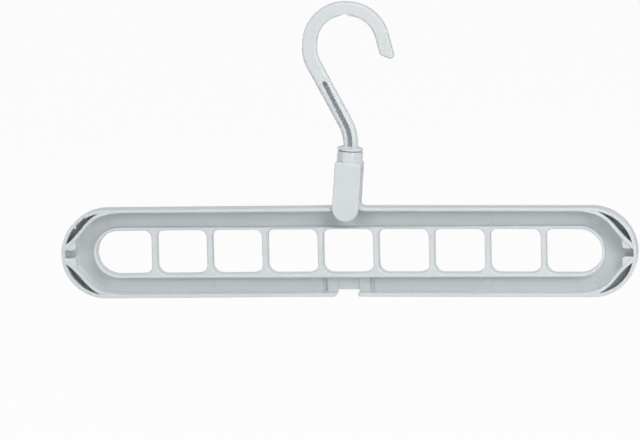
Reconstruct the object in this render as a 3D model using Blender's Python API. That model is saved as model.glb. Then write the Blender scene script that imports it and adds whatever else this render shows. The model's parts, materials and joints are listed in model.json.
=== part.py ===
"""Nine-hole clothes hanger: a tray-shaped bar, a yoke clipped over its top rim and a swivelling hook.

Metres, +Z up, +X along the bar, +Y away from the open face of the bar.
The origin is the rod seat, the small notch at the top of the hook's mouth.
"""
import math

import bmesh
import bpy
from mathutils import Matrix

# Bar: a shallow tray with round ends, its web at the back and its rim standing forward
BAR_LENGTH = 0.3600
BAR_HEIGHT = 0.0558
BAR_DEPTH = 0.0126
RIM_WALL = 0.0022
WEB_WALL = 0.0020

# Garment holes, with the low wall that runs round them and between them
HOLE_COUNT = 9
HOLE_PITCH = 0.0348
HOLE_WIDTH = 0.0312
HOLE_HEIGHT = 0.0277
HOLE_TOP_ROUND = 0.0045
HOLE_FOOT_ROUND = 0.0060
END_HOLE_EXTRA = 0.0033
LADDER_WALL = 0.0020
LADDER_SETBACK = 0.0037

# Raised saddle at the middle of the top rim, where the yoke clips on
SADDLE_HALF = 0.0118
SADDLE_RISE = 0.0028
SADDLE_TOE_ROUND = 0.0060
SADDLE_CROWN_ROUND = 0.0030

# Bar ends: blind crescent pockets, oblique walls and two stop blocks with a slot between them
POCKET_HIGH_ANGLE = math.radians(81.0)
POCKET_LOW_ANGLE = math.radians(14.0)
POCKET_HIGH_SLOPE = math.radians(-23.5)
POCKET_LOW_SLOPE = math.radians(-35.5)
POCKET_HIGH_HANDLE = 0.0100
POCKET_LOW_HANDLE = 0.0115
POCKET_FLOOR = 0.0022
NECK_LEAD = 0.0122
NECK_SLOPE = math.radians(-44.0)
NECK_HIGH_HANDLE = 0.0220
NECK_LOW_HANDLE = 0.0114
BLOCK_REACH = 0.0187
BLOCK_HEIGHT = 0.0088
BLOCK_CHAMFER = 0.0012
BLOCK_SETBACK = 0.0006
SLOT_WIDTH = 0.0050

# Notch in the bottom rim, with a low pad and a groove on each side of it
NOTCH_WIDTH = 0.0129
NOTCH_ROUND = 0.0015
PAD_WIDTH = 0.0068
PAD_RISE = 0.0016
GROOVE_WIDTH = 0.0028
GROOVE_DEPTH = 0.0008

# Yoke: two plates over the bar, a bridge across their top and an octagonal collar
RUNNING_GAP = 0.0003
PLATE_WALL = 0.0018
YOKE_WIDTH = 0.0166
YOKE_EDGE = 0.0009
THROAT_ABOVE_PIVOT = 0.0253
BRIDGE_WALL = 0.0026
PLATE_BELOW_PIVOT = 0.0088
COLLAR_SIDES = 8
COLLAR_ACROSS = 0.0156
COLLAR_HEIGHT = 0.0070
COLLAR_EDGE = 0.0009
LIP_WIDTH = 0.0072
LIP_BITE = 0.0024
LIP_HEIGHT = 0.0055
LIP_TIP_HEIGHT = 0.0018
LIP_CROWN = 0.0300

# Hook: flange, snap shank and a flat strip bent to a crook
SHANK_RADIUS = 0.0040
SHANK_CLEARANCE = 0.0003
FLANGE_RADIUS = 0.0081
FLANGE_WALL = 0.0018
HEAD_RADIUS = 0.0052
HEAD_TIP_RADIUS = 0.0034
HEAD_LAND = 0.0012
HEAD_TAPER = 0.0020
PRONG_SLOT = 0.0012
PRONG_LENGTH = 0.0075
STRIP_WIDTH = 0.0091
TIP_WIDTH = 0.0083
STRIP_DEPTH = 0.0068
STRIP_EDGE = 0.0011
CROOK_RADIUS = 0.0220
CROOK_OFFSET = 0.0072
CROOK_HEIGHT = 0.0660
CROOK_TOP_RUN = 0.0016
CROOK_SIDE_RUN = 0.0028
STEM_FOOT = 0.0027
STEM_BEND = 0.0270
ARM_SLOPE = math.radians(19.0)
ARM_LENGTH = 0.0145
TIP_SLANT = math.radians(36.0)
TIP_ROUND = 0.0016
SEAT_WIDTH = 0.0052
SEAT_DEPTH = 0.0012
SEAT_OFFSET = 0.0010
CHANNEL_WIDTH = 0.0030
CHANNEL_DEPTH = 0.0030
CHANNEL_TOP = 0.0410
CHANNEL_FOOT = 0.0022

# How the pieces hang together: the shank leans, the bar stays level and sits a little to one side
SHANK_LEAN = math.radians(4.85)
BAR_SHIFT = 0.0004

# Fineness of curves and edges
ARC_STEP = math.radians(7.5)
BEZIER_STEPS = 8
TURN_STEPS = 40
EDGE_SEGMENTS = 2
ROUNDED_ABOVE = math.radians(50.0)
SHARP_ABOVE = math.radians(30.0)
SAME_POINT = 0.000001

# How far cutters and joined solids reach past a face
OVERRUN = 0.0010
EMBED = 0.0003

PLASTIC_GREY = (0.60, 0.63, 0.64, 1.0)
PLASTIC_ROUGHNESS = 0.45


def clear_scene():
    for item in list(bpy.data.objects):
        bpy.data.objects.remove(item, do_unlink=True)


def plastic(name):
    material = bpy.data.materials.new(name)
    material.use_nodes = True
    shader = material.node_tree.nodes["Principled BSDF"]
    shader.inputs["Base Color"].default_value = PLASTIC_GREY
    shader.inputs["Roughness"].default_value = PLASTIC_ROUGHNESS
    shader.inputs["Metallic"].default_value = 0.0
    return material


def arc(centre, radius, start, end):
    """Points from angle start to angle end about centre, both ends included."""
    steps = max(1, math.ceil(abs(end - start) / ARC_STEP))
    angles = [start + (end - start) * step / steps for step in range(steps + 1)]
    return [(centre[0] + radius * math.cos(a), centre[1] + radius * math.sin(a)) for a in angles]


def bezier(first, first_handle, last_handle, last):
    """Points along a cubic curve, both ends included."""
    points = []
    for step in range(BEZIER_STEPS + 1):
        t = step / BEZIER_STEPS
        weights = ((1 - t) ** 3, 3 * t * (1 - t) ** 2, 3 * t ** 2 * (1 - t), t ** 3)
        corners = (first, first_handle, last_handle, last)
        points.append(tuple(sum(w * c[axis] for w, c in zip(weights, corners)) for axis in (0, 1)))
    return points


def onward(point, heading, distance):
    """The point moved by a distance in the direction of a heading."""
    return (point[0] + distance * math.cos(heading), point[1] + distance * math.sin(heading))


def mirrored(points, flip_x=False, flip_z=False):
    """The points flipped left to right, top to bottom or both."""
    return [(-x if flip_x else x, -z if flip_z else z) for x, z in points]


def tidy(points):
    """The outline without repeated points, turning counter-clockwise seen along +Y."""
    kept = []
    for point in points:
        if not kept or math.dist(point, kept[-1]) > SAME_POINT:
            kept.append(point)
    if math.dist(kept[0], kept[-1]) < SAME_POINT:
        kept.pop()
    following = kept[1:] + kept[:1]
    area = sum(a[0] * b[1] - b[0] * a[1] for a, b in zip(kept, following))
    return kept if area > 0 else kept[::-1]


def new_object(name, bm):
    bmesh.ops.recalc_face_normals(bm, faces=bm.faces)
    mesh = bpy.data.meshes.new(name)
    bm.to_mesh(mesh)
    bm.free()
    made = bpy.data.objects.new(name, mesh)
    bpy.context.scene.collection.objects.link(made)
    return made


def add_loft(bm, front, y_front, back, y_back):
    """A closed solid between two outlines of equally many points in the XZ plane."""
    near = [bm.verts.new((x, y_front, z)) for x, z in front]
    far = [bm.verts.new((x, y_back, z)) for x, z in back]
    bm.faces.new(near)
    bm.faces.new(far[::-1])
    for index in range(len(near)):
        after = (index + 1) % len(near)
        bm.faces.new((near[index], far[index], far[after], near[after]))


def prism(name, outlines, y_front, y_back):
    """One object holding a straight prism for each outline."""
    bm = bmesh.new()
    for outline in outlines:
        points = tidy(outline)
        add_loft(bm, points, y_front, points, y_back)
    return new_object(name, bm)


def rectangle(x_low, x_high, z_low, z_high):
    return [(x_low, z_low), (x_high, z_low), (x_high, z_high), (x_low, z_high)]


def turned(name, profile):
    """A solid of revolution about Z from (radius, z) points that start and end on the axis."""
    bm = bmesh.new()
    rings = []
    for radius, z in profile[1:-1]:
        angles = [math.tau * step / TURN_STEPS for step in range(TURN_STEPS)]
        rings.append([bm.verts.new((radius * math.cos(a), radius * math.sin(a), z)) for a in angles])
    low = bm.verts.new((0.0, 0.0, profile[0][1]))
    high = bm.verts.new((0.0, 0.0, profile[-1][1]))
    for step in range(TURN_STEPS):
        after = (step + 1) % TURN_STEPS
        bm.faces.new((low, rings[0][after], rings[0][step]))
        bm.faces.new((high, rings[-1][step], rings[-1][after]))
        for inner, outer in zip(rings, rings[1:]):
            bm.faces.new((inner[step], inner[after], outer[after], outer[step]))
    return new_object(name, bm)


def combine(target, tool, operation):
    """A Boolean modifier on target; the tool stays in the scene as a guide only."""
    modifier = target.modifiers.new(tool.name, "BOOLEAN")
    modifier.operation = operation
    modifier.solver = "EXACT"
    modifier.object = tool
    tool.parent = target
    tool.hide_render = True
    tool.display_type = "WIRE"


def round_edges(target, width):
    modifier = target.modifiers.new("edge_round", "BEVEL")
    modifier.width = width
    modifier.segments = EDGE_SEGMENTS
    modifier.limit_method = "ANGLE"
    modifier.angle_limit = ROUNDED_ABOVE


def finish(target, material):
    """Sets the piece's material and shades its round faces smooth."""
    target.data.materials.append(material)
    target.data.shade_smooth()
    target.data.set_sharp_from_angle(angle=SHARP_ABOVE)


def saddle_curve(rim_inset):
    """The right half of the saddle, from its crown down to the straight rim."""
    top = BAR_HEIGHT / 2 - rim_inset
    toe_round = SADDLE_TOE_ROUND + rim_inset
    crown_round = SADDLE_CROWN_ROUND - rim_inset
    sweep = math.acos(1 - SADDLE_RISE / (SADDLE_TOE_ROUND + SADDLE_CROWN_ROUND))
    crown_half = SADDLE_HALF - (SADDLE_TOE_ROUND + SADDLE_CROWN_ROUND) * math.sin(sweep)
    crown_centre = (crown_half, top + SADDLE_RISE - crown_round)
    toe_centre = (SADDLE_HALF, top + toe_round)
    up = math.pi / 2
    crown = arc(crown_centre, crown_round, up, up - sweep)
    toe = arc(toe_centre, toe_round, -up - sweep, -up)
    return crown + toe[1:]


def saddle_outline(rim_inset):
    """Top edge of the bar's outline from right to left across the saddle."""
    right = saddle_curve(rim_inset)
    return right[::-1] + mirrored(right, flip_x=True)


def bar_outline():
    radius = BAR_HEIGHT / 2
    centre = (BAR_LENGTH / 2 - radius, 0.0)
    right = arc(centre, radius, -math.pi / 2, math.pi / 2)
    left = mirrored(right[::-1], flip_x=True)
    return right + saddle_outline(0.0) + left


def end_centre():
    """Centre of the bar's round right end, seen from the front."""
    return BAR_LENGTH / 2 - BAR_HEIGHT / 2


def inner_radius():
    return BAR_HEIGHT / 2 - RIM_WALL


def neck_curve():
    """The tray's edge at the right end, from the straight rim down to the upper block's corner."""
    start = (end_centre() - NECK_LEAD, inner_radius())
    corner = (end_centre() + BLOCK_REACH, BLOCK_HEIGHT)
    start_handle = onward(start, 0.0, NECK_HIGH_HANDLE)
    corner_handle = onward(corner, NECK_SLOPE, -NECK_LOW_HANDLE)
    return bezier(start, start_handle, corner_handle, corner)


def tray_end():
    """The tray's edge round the right end, from top to bottom, with the slot between the blocks."""
    slot_top = SLOT_WIDTH / 2
    face = end_centre() + BLOCK_REACH
    upper = neck_curve() + [(face, slot_top + BLOCK_CHAMFER), (face + BLOCK_CHAMFER, slot_top)]
    reach = math.asin(slot_top / inner_radius())
    slot = arc((end_centre(), 0.0), inner_radius(), reach, -reach)
    return upper + slot + mirrored(upper[::-1], flip_z=True)


def tray_outline():
    right = tray_end()[::-1]
    left = mirrored(tray_end(), flip_x=True)
    return right + saddle_outline(RIM_WALL) + left


def pocket_outline():
    """The upper pocket at the right end: the rim's inner arc closed by an oblique wall."""
    centre = (end_centre(), 0.0)
    rim = arc(centre, inner_radius(), POCKET_LOW_ANGLE, POCKET_HIGH_ANGLE)
    low = rim[0]
    high = rim[-1]
    high_handle = onward(high, POCKET_HIGH_SLOPE, POCKET_HIGH_HANDLE)
    low_handle = onward(low, POCKET_LOW_SLOPE, -POCKET_LOW_HANDLE)
    return rim + bezier(high, high_handle, low_handle, low)[1:-1]


def block_outline():
    """The upper stop block's front face at the right end."""
    edge = SLOT_WIDTH / 2
    face = end_centre() + BLOCK_REACH
    far = face + (BLOCK_HEIGHT - edge) / math.tan(-NECK_SLOPE)
    return [(face - OVERRUN, BLOCK_HEIGHT), (face, BLOCK_HEIGHT), (far, edge), (far, edge - OVERRUN),
            (face - OVERRUN, edge - OVERRUN)]


def four_ways(outline):
    """The outline and its copies flipped left to right and top to bottom."""
    return [mirrored(outline, flip_x, flip_z) for flip_x in (False, True) for flip_z in (False, True)]


def ladder_outline(grow):
    """Outline of the low wall round the holes, grown outwards by a given amount."""
    radius = HOLE_HEIGHT / 2 + LADDER_WALL + grow
    centre = (HOLE_COUNT - 1) / 2 * HOLE_PITCH + HOLE_WIDTH / 2 + END_HOLE_EXTRA - HOLE_HEIGHT / 2
    right = arc((centre, 0.0), radius, -math.pi / 2, math.pi / 2)
    return right + mirrored(right[::-1], flip_x=True)


def hole_outline(x_left, x_right, round_left, round_right):
    """A garment hole; an end hole has one side that is a half circle."""
    half = HOLE_HEIGHT / 2
    quarter = math.pi / 2
    corners = (
        (x_left, -half, HOLE_FOOT_ROUND, round_left, 2 * quarter),
        (x_right, -half, HOLE_FOOT_ROUND, round_right, 3 * quarter),
        (x_right, half, HOLE_TOP_ROUND, round_right, 0.0),
        (x_left, half, HOLE_TOP_ROUND, round_left, quarter),
    )
    points = []
    for x, z, corner_round, is_round_side, start in corners:
        radius = half if is_round_side else corner_round
        centre_x = x + radius if x == x_left else x - radius
        centre_z = z + radius if z < 0 else z - radius
        points += arc((centre_x, centre_z), radius, start, start + quarter)
    return points


def hole_outlines():
    outlines = []
    for index in range(HOLE_COUNT):
        middle = (index - (HOLE_COUNT - 1) / 2) * HOLE_PITCH
        is_first = index == 0
        is_last = index == HOLE_COUNT - 1
        x_left = middle - HOLE_WIDTH / 2 - (END_HOLE_EXTRA if is_first else 0.0)
        x_right = middle + HOLE_WIDTH / 2 + (END_HOLE_EXTRA if is_last else 0.0)
        outlines.append(hole_outline(x_left, x_right, is_first, is_last))
    return outlines


def notch_outline():
    """The gap in the bottom rim, flared where it meets the rim's outer face."""
    half = NOTCH_WIDTH / 2
    outer = -BAR_HEIGHT / 2
    flare = arc((half + NOTCH_ROUND, outer + NOTCH_ROUND), NOTCH_ROUND, math.pi, 1.5 * math.pi)
    right = [(half, -inner_radius())] + flare + [(half + NOTCH_ROUND, outer - OVERRUN)]
    return right + mirrored(right[::-1], flip_x=True)


def pad_outlines():
    """The low pads beside the notch, sunk a little into the wall above and the rim below."""
    ladder_foot = -HOLE_HEIGHT / 2 - LADDER_WALL
    start = NOTCH_WIDTH / 2
    pad = rectangle(start, start + PAD_WIDTH, -inner_radius() - EMBED, ladder_foot + EMBED)
    return [pad, mirrored(pad, flip_x=True)]


def groove_outlines():
    """The shallow grooves in the tray's floor beside the pads."""
    ladder_foot = -HOLE_HEIGHT / 2 - LADDER_WALL
    start = NOTCH_WIDTH / 2 + PAD_WIDTH
    groove = rectangle(start, start + GROOVE_WIDTH, -inner_radius(), ladder_foot)
    return [groove, mirrored(groove, flip_x=True)]


def make_bar(material):
    front = -BAR_DEPTH / 2
    back = BAR_DEPTH / 2
    floor = back - WEB_WALL
    bar = prism("hanger_bar", [bar_outline()], front, back)
    finish(bar, material)
    tray = prism("tray_cutter", [tray_outline()], front - OVERRUN, floor)
    ladder = prism("ladder_keeper", [ladder_outline(0.0)], front - OVERRUN - EMBED, floor + OVERRUN)
    combine(tray, ladder, "DIFFERENCE")
    combine(bar, tray, "DIFFERENCE")
    recess = prism("ladder_face_cutter", [ladder_outline(EMBED)], front - OVERRUN, front + LADDER_SETBACK)
    combine(bar, recess, "DIFFERENCE")
    pads = prism("notch_pads", pad_outlines(), floor - PAD_RISE, floor + EMBED)
    combine(bar, pads, "UNION")
    grooves = prism("groove_cutter", groove_outlines(), floor - EMBED, floor + GROOVE_DEPTH)
    combine(bar, grooves, "DIFFERENCE")
    holes = prism("garment_hole_cutter", hole_outlines(), front - OVERRUN, back + OVERRUN)
    combine(bar, holes, "DIFFERENCE")
    pockets = prism("pocket_cutter", four_ways(pocket_outline()), front - OVERRUN, back - POCKET_FLOOR)
    combine(bar, pockets, "DIFFERENCE")
    faces = prism("block_face_cutter", four_ways(block_outline()), front - OVERRUN, front + BLOCK_SETBACK)
    combine(bar, faces, "DIFFERENCE")
    notch = prism("notch_cutter", [notch_outline()], front - OVERRUN, back + OVERRUN)
    combine(bar, notch, "DIFFERENCE")
    return bar


def yoke_outline():
    """The plates' outline about the pivot, with their round lower end."""
    half = YOKE_WIDTH / 2
    top = THROAT_ABOVE_PIVOT + BRIDGE_WALL
    foot = arc((0.0, half - PLATE_BELOW_PIVOT), half, math.pi, math.tau)
    return foot + [(half, top), (-half, top)]


def lip_outline(height):
    """The catch lip seen from the front, its top crowned so that the bar can rock on it."""
    half = LIP_WIDTH / 2
    sweep = math.asin(half / LIP_CROWN)
    up = math.pi / 2
    crown = arc((0.0, -LIP_CROWN), LIP_CROWN, up - sweep, up + sweep)
    return crown + [(-half, -height), (half, -height)]


def collar_outline():
    """A regular polygon with a flat facing forward, in the XY plane."""
    radius = COLLAR_ACROSS / 2 / math.cos(math.pi / COLLAR_SIDES)
    angles = [math.tau * (side + 0.5) / COLLAR_SIDES for side in range(COLLAR_SIDES)]
    return [(radius * math.cos(a), radius * math.sin(a)) for a in angles]


def make_collar():
    bottom = THROAT_ABOVE_PIVOT + EMBED
    top = THROAT_ABOVE_PIVOT + BRIDGE_WALL + COLLAR_HEIGHT
    bm = bmesh.new()
    low = [bm.verts.new((x, y, bottom)) for x, y in collar_outline()]
    high = [bm.verts.new((x, y, top)) for x, y in collar_outline()]
    bm.faces.new(low[::-1])
    bm.faces.new(high)
    for index in range(len(low)):
        after = (index + 1) % len(low)
        bm.faces.new((low[index], low[after], high[after], high[index]))
    collar = new_object("collar", bm)
    round_edges(collar, COLLAR_EDGE)
    return collar


def throat_half():
    """Half the space between the plates."""
    return BAR_DEPTH / 2 + RUNNING_GAP


def make_yoke(material):
    half_depth = throat_half() + PLATE_WALL
    yoke = prism("yoke_clip", [yoke_outline()], -half_depth, half_depth)
    finish(yoke, material)
    round_edges(yoke, YOKE_EDGE)
    side = YOKE_WIDTH / 2 + OVERRUN
    opening = rectangle(-side, side, -PLATE_BELOW_PIVOT - OVERRUN, THROAT_ABOVE_PIVOT)
    throat = prism("throat_cutter", [opening], -throat_half(), throat_half())
    combine(yoke, throat, "DIFFERENCE")
    combine(yoke, make_collar(), "UNION")
    bm = bmesh.new()
    add_loft(bm, lip_outline(LIP_HEIGHT), -throat_half() - EMBED,
             lip_outline(LIP_TIP_HEIGHT), -BAR_DEPTH / 2 + LIP_BITE)
    combine(yoke, new_object("catch_lip", bm), "UNION")
    bore_radius = SHANK_RADIUS + SHANK_CLEARANCE
    bore_foot = THROAT_ABOVE_PIVOT - OVERRUN
    bore_top = THROAT_ABOVE_PIVOT + BRIDGE_WALL + COLLAR_HEIGHT + OVERRUN
    bore = turned("bore_cutter", [(0.0, bore_foot), (bore_radius, bore_foot), (bore_radius, bore_top),
                                  (0.0, bore_top)])
    combine(yoke, bore, "DIFFERENCE")
    return yoke


def crook_centre():
    return (-CROOK_OFFSET, CROOK_HEIGHT)


def crook_side():
    """Centre of the arc that leads from the stem into the crook's straight left side."""
    return (-CROOK_OFFSET, CROOK_HEIGHT - CROOK_SIDE_RUN)


def stem_slope():
    """Lean of the straight stem that runs on smoothly from the bend above the flange into the crook."""
    across = crook_side()[0] + STEM_BEND
    rise = crook_side()[1] - STEM_FOOT
    return math.atan2(rise, across) - math.acos((STEM_BEND + CROOK_RADIUS) / math.hypot(across, rise))


def arc_stations(centre, radius, start, end):
    """Points along an arc with the direction of travel at each."""
    points = arc(centre, radius, start, end)
    quarter_turn = math.copysign(math.pi / 2, end - start)
    turn = (end - start) / (len(points) - 1)
    return [(point, start + turn * step + quarter_turn) for step, point in enumerate(points)]


def strip_stations():
    """Points of the strip's middle line with its direction there, from the flange to the arm's tip."""
    foot = FLANGE_WALL - STRIP_EDGE - EMBED
    slope = stem_slope()
    right = (CROOK_TOP_RUN - CROOK_OFFSET, CROOK_HEIGHT)
    up = math.pi / 2
    stations = [((0.0, foot), up)]
    stations += arc_stations((-STEM_BEND, STEM_FOOT), STEM_BEND, 0.0, slope)
    stations += arc_stations(crook_side(), CROOK_RADIUS, math.pi + slope, math.pi)
    stations += arc_stations(crook_centre(), CROOK_RADIUS, math.pi, up)
    stations += arc_stations(right, CROOK_RADIUS, up, ARM_SLOPE)
    last, heading = stations[-1]
    stations.append((onward(last, heading, ARM_LENGTH), heading))
    return stations


def half_width(heading):
    """Half the strip's width, which narrows from the top of the stem to the arm's tip."""
    bent = max(0.0, math.pi / 2 - heading) / (math.pi - ARM_SLOPE)
    return (STRIP_WIDTH + (TIP_WIDTH - STRIP_WIDTH) * bent) / 2


def beside(station, sideways, along=0.0):
    """A point beside the middle line: sideways is to the left of its direction."""
    point, heading = station
    return onward(onward(point, heading, along), heading + math.pi / 2, sideways)


def rounded_corner(before, corner, after, radius):
    """The arc that rounds a corner between two straight edges."""
    back = math.atan2(before[1] - corner[1], before[0] - corner[0])
    ahead = math.atan2(after[1] - corner[1], after[0] - corner[0])
    opening = math.remainder(ahead - back, math.tau)
    centre = onward(corner, back + opening / 2, radius / math.sin(abs(opening) / 2))
    start = back - math.copysign(math.pi / 2, opening)
    return arc(centre, radius, start, start - math.copysign(math.pi, opening) + opening)


def strip_outline():
    stations = strip_stations()
    outer = [beside(station, half_width(station[1])) for station in stations[:-1]]
    inner = [beside(station, -half_width(station[1])) for station in stations[:-1]]
    half = TIP_WIDTH / 2
    cut = half * math.tan(TIP_SLANT)
    outer_tip = beside(stations[-1], half, cut)
    inner_tip = beside(stations[-1], -half, -cut)
    outer_corner = rounded_corner(outer[-1], outer_tip, inner_tip, TIP_ROUND)
    inner_corner = rounded_corner(outer_tip, inner_tip, inner[-1], TIP_ROUND)
    return outer + outer_corner + inner_corner + inner[::-1]


def seat_outline():
    """The notch that sits on the rod, cut upwards into the inside of the crook."""
    x, z = seat_point()
    foot = z - SEAT_DEPTH - OVERRUN
    spread = SEAT_WIDTH / 2 * (z - foot) / SEAT_DEPTH
    return [(x, z), (x - spread, foot), (x + spread, foot)]


def seat_point():
    """The notch's apex in the hook's own frame, with the flange's underside at height zero."""
    inside = CROOK_HEIGHT + CROOK_RADIUS - half_width(0.0)
    return (-CROOK_OFFSET - SEAT_OFFSET, inside + SEAT_DEPTH)


def stem_stations(top):
    """The stem's middle line from just above the flange up to a given height on its slope."""
    stations = [((0.0, CHANNEL_FOOT), math.pi / 2)]
    stations += arc_stations((-STEM_BEND, STEM_FOOT), STEM_BEND, 0.0, stem_slope())
    (x, z), heading = stations[-1]
    rise = top - z
    stations.append(((x - rise * math.tan(stem_slope()), top), heading))
    return stations


def channel_outline():
    """The blind channel down the stem's front face, round at its upper end."""
    half = CHANNEL_WIDTH / 2
    stations = stem_stations(CHANNEL_TOP)
    end, heading = stations[-1]
    right = [beside(station, -half) for station in stations[:-1]]
    left = [beside(station, half) for station in stations[:-1]]
    cap = arc(end, half, heading - math.pi / 2, heading + math.pi / 2)
    return right + cap + left[::-1]


def head_top():
    """Height of the snap head's shoulder below the flange's underside."""
    return -(RUNNING_GAP + COLLAR_HEIGHT + BRIDGE_WALL + RUNNING_GAP)


def shank_profile():
    """Half section of the head, the shank and the flange with its round rim."""
    edge = FLANGE_WALL / 2
    rim = arc((FLANGE_RADIUS - edge, edge), edge, -math.pi / 2, math.pi / 2)
    shoulder = head_top()
    tip = shoulder - HEAD_LAND - HEAD_TAPER
    return [(0.0, tip), (HEAD_TIP_RADIUS, tip), (HEAD_RADIUS, shoulder - HEAD_LAND), (HEAD_RADIUS, shoulder),
            (SHANK_RADIUS, shoulder), (SHANK_RADIUS, 0.0)] + rim + [(0.0, FLANGE_WALL)]


def make_hook(material):
    front = -STRIP_DEPTH / 2
    hook = prism("swivel_hook", [strip_outline()], front, -front)
    finish(hook, material)
    round_edges(hook, STRIP_EDGE)
    combine(hook, turned("shank", shank_profile()), "UNION")
    seat = prism("seat_cutter", [seat_outline()], front - OVERRUN, -front + OVERRUN)
    combine(hook, seat, "DIFFERENCE")
    channel = prism("channel_cutter", [channel_outline()], front - OVERRUN, front + CHANNEL_DEPTH)
    combine(hook, channel, "DIFFERENCE")
    low = head_top() - HEAD_LAND - HEAD_TAPER
    side = HEAD_RADIUS + OVERRUN
    opening = rectangle(-side, side, low - OVERRUN, low + PRONG_LENGTH)
    prong_slot = prism("prong_slot_cutter", [opening], -PRONG_SLOT / 2, PRONG_SLOT / 2)
    combine(hook, prong_slot, "DIFFERENCE")
    return hook


def axis_empty(name, parent, location):
    """An empty on a joint's axis."""
    empty = bpy.data.objects.new(name, None)
    empty.empty_display_size = YOKE_WIDTH
    bpy.context.scene.collection.objects.link(empty)
    empty.parent = parent
    empty.location = location
    return empty


def assemble(bar, yoke, hook):
    """Puts the rod seat at the origin, leans the shank and levels the bar under it."""
    lean = Matrix.Rotation(SHANK_LEAN, 4, "Y")
    seat_x, seat_z = seat_point()
    hook.matrix_world = lean @ Matrix.Translation((-seat_x, 0.0, -seat_z))
    pivot_drop = THROAT_ABOVE_PIVOT + BRIDGE_WALL + COLLAR_HEIGHT + RUNNING_GAP
    swivel = axis_empty("hook_swivel_axis", hook, (0.0, 0.0, 0.0))
    yoke.parent = swivel
    yoke.location = (0.0, 0.0, -pivot_drop)
    rock = axis_empty("bar_rock_axis", yoke, (0.0, 0.0, 0.0))
    rock.rotation_euler = (0.0, -SHANK_LEAN, 0.0)
    ceiling = BAR_HEIGHT / 2 - RIM_WALL + SADDLE_RISE
    bar.parent = rock
    bar.location = (BAR_SHIFT, 0.0, RUNNING_GAP - ceiling)


def main():
    clear_scene()
    bar = make_bar(plastic("bar_plastic"))
    yoke = make_yoke(plastic("yoke_plastic"))
    hook = make_hook(plastic("hook_plastic"))
    assemble(bar, yoke, hook)


main()
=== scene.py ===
"""Looks of a nine-hole clothes hanger: its moulded bar, yoke and hook, their plastic and a white studio.

Metres, +Z up, +X along the bar, +Y away from the bar's open face, as in the fixed frame.
"""
import json
import math

import bmesh
import bpy
from bpy.props import FloatProperty, FloatVectorProperty, PointerProperty
from mathutils import Matrix, Vector


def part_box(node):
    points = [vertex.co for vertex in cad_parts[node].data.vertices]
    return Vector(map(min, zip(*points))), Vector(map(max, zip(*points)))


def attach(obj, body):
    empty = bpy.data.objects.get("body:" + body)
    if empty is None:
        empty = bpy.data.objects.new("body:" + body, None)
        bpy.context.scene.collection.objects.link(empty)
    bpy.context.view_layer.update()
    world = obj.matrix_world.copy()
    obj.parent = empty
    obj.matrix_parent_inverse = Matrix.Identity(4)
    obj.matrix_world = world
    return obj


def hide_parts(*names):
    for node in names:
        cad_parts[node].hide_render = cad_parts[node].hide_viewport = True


bl_info = {
    "name": "Clothes Hanger",
    "version": (1, 0, 0),
    "blender": (4, 5, 0),
    "location": "3D View > Sidebar > Hanger",
    "description": "Builds a nine-hole clothes hanger with its moulded details and a studio round it",
    "category": "Object",
}

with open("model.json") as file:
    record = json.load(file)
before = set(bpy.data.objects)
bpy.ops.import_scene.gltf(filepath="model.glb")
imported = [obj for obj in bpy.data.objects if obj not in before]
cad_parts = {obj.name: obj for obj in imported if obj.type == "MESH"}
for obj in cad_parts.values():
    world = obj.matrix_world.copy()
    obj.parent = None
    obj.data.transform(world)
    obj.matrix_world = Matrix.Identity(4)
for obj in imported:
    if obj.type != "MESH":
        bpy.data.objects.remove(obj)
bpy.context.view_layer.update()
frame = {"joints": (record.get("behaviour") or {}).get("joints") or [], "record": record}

# What the frame fixes: the bar's box, its holes and the two joints
BAR_LOW, BAR_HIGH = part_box("hanger_bar")
HOLE_SEATS = [mount["pos_m"] for mount in frame["record"]["mounts"] if mount["kind"] == "flat_face"]
JOINTS = {joint["name"]: joint for joint in frame["joints"]}
SHANK_AXIS = Vector(JOINTS["hook_swivel"]["axis"]).normalized()
SHANK_LEAN = math.atan2(SHANK_AXIS.x, SHANK_AXIS.z)
HOOK_SEAT = Vector(JOINTS["hook_swivel"]["pos_m"])
ROCK_PIVOT = Vector(JOINTS["bar_rock"]["pos_m"])
HOLE_COUNT = len(HOLE_SEATS)
HOLE_PITCH = (HOLE_SEATS[-1][0] - HOLE_SEATS[0][0]) / (HOLE_COUNT - 1)
END_HOLE = (HOLE_COUNT - 1) / 2 * HOLE_PITCH
BAR_LENGTH = BAR_HIGH.x - BAR_LOW.x
BAR_DEPTH = BAR_HIGH.y - BAR_LOW.y

# Saddle at the middle of the top rim, with the radii of its toes and its crown's corners
SADDLE_HALF = 0.0118
SADDLE_RISE = 0.0028
TOE_ROUND = 0.0060
CROWN_ROUND = 0.0030

# Round ends of the bar: their outer radius, and their centres' distance from its middle
BAR_RADIUS = (BAR_HIGH.z - BAR_LOW.z - SADDLE_RISE) / 2
END_CENTRE = BAR_LENGTH / 2 - BAR_RADIUS

# Bar ends: blind crescent pockets, oblique walls and two stop blocks with a slot between them
POCKET_HIGH_ANGLE = math.radians(81.0)
POCKET_LOW_ANGLE = math.radians(14.0)
POCKET_HIGH_SLOPE = math.radians(-23.5)
POCKET_LOW_SLOPE = math.radians(-35.5)
POCKET_HIGH_HANDLE = 0.0100
POCKET_LOW_HANDLE = 0.0115
POCKET_FLOOR = 0.0022
NECK_LEAD = 0.0122
NECK_SLOPE = math.radians(-44.0)
NECK_HIGH_HANDLE = 0.0220
NECK_LOW_HANDLE = 0.0114
BLOCK_REACH = 0.0187
BLOCK_HEIGHT = 0.0088
BLOCK_CHAMFER = 0.0012
BLOCK_SETBACK = 0.0006
SLOT_WIDTH = 0.0050

# Two cut-off tabs that face each other in the upper left pocket
TAB_PLACES = ((-0.1710, 0.0171), (-0.1676, 0.0145))
TAB_SIZE = 0.0015
TAB_TURN = math.radians(40.0)
TAB_FRONT = 0.0002
TAB_DEPTH = 0.0025

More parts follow.
